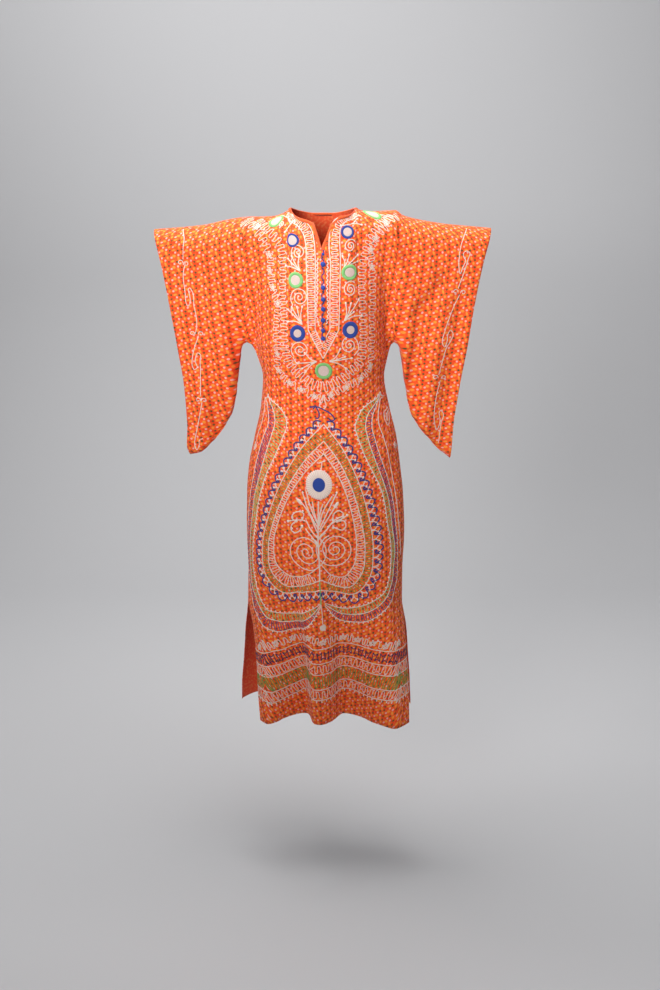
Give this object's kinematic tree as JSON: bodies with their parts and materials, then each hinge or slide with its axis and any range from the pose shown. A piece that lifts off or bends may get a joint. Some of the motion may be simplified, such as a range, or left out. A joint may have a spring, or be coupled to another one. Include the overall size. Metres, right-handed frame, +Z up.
{
  "type": "kaftan",
  "caption": "Long cotton kaftan in its worn hollow form, with wide kimono sleeves, a V neck with a buttoned slit, embroidered front and open side slits.",
  "frame": {"origin": "on the neck's axis, level with the two neck points where the shoulder seams meet the neckline, where the wearer's neck and shoulders hold the garment", "axes": "+Z up along the wearer's neck, -Y is the garment's front, +X is the viewer's right when looking at the front"},
  "size_m": [0.7445, 0.2523, 1.2022],
  "materials": {
    "printed_cotton": "orange-red cotton with a small gold chevron and dot print, matt",
    "binding_cotton": "plain orange cotton bias binding, matt",
    "blue_thread": "royal blue embroidery thread, slight sheen",
    "green_thread": "light green embroidery thread, slight sheen",
    "white_thread": "white embroidery thread, slight sheen"
  },
  "bodies": {
    "root": {"front": "printed_cotton", "back": "printed_cotton", "neck_binding": "binding_cotton", "feather_eye": "white_thread", "button_1": "blue_thread", "button_2": "blue_thread", "button_3": "blue_thread", "button_4": "blue_thread", "button_5": "blue_thread", "button_6": "blue_thread", "button_7": "blue_thread", "button_8": "blue_thread", "round_shoulder_left": "green_thread", "round_shoulder_right": "green_thread", "round_collar_left": "blue_thread", "round_collar_right": "blue_thread", "round_chest_left": "green_thread", "round_chest_right": "green_thread", "round_bust_left": "blue_thread", "round_bust_right": "blue_thread", "round_point": "green_thread"}
  },
  "joints": []
}
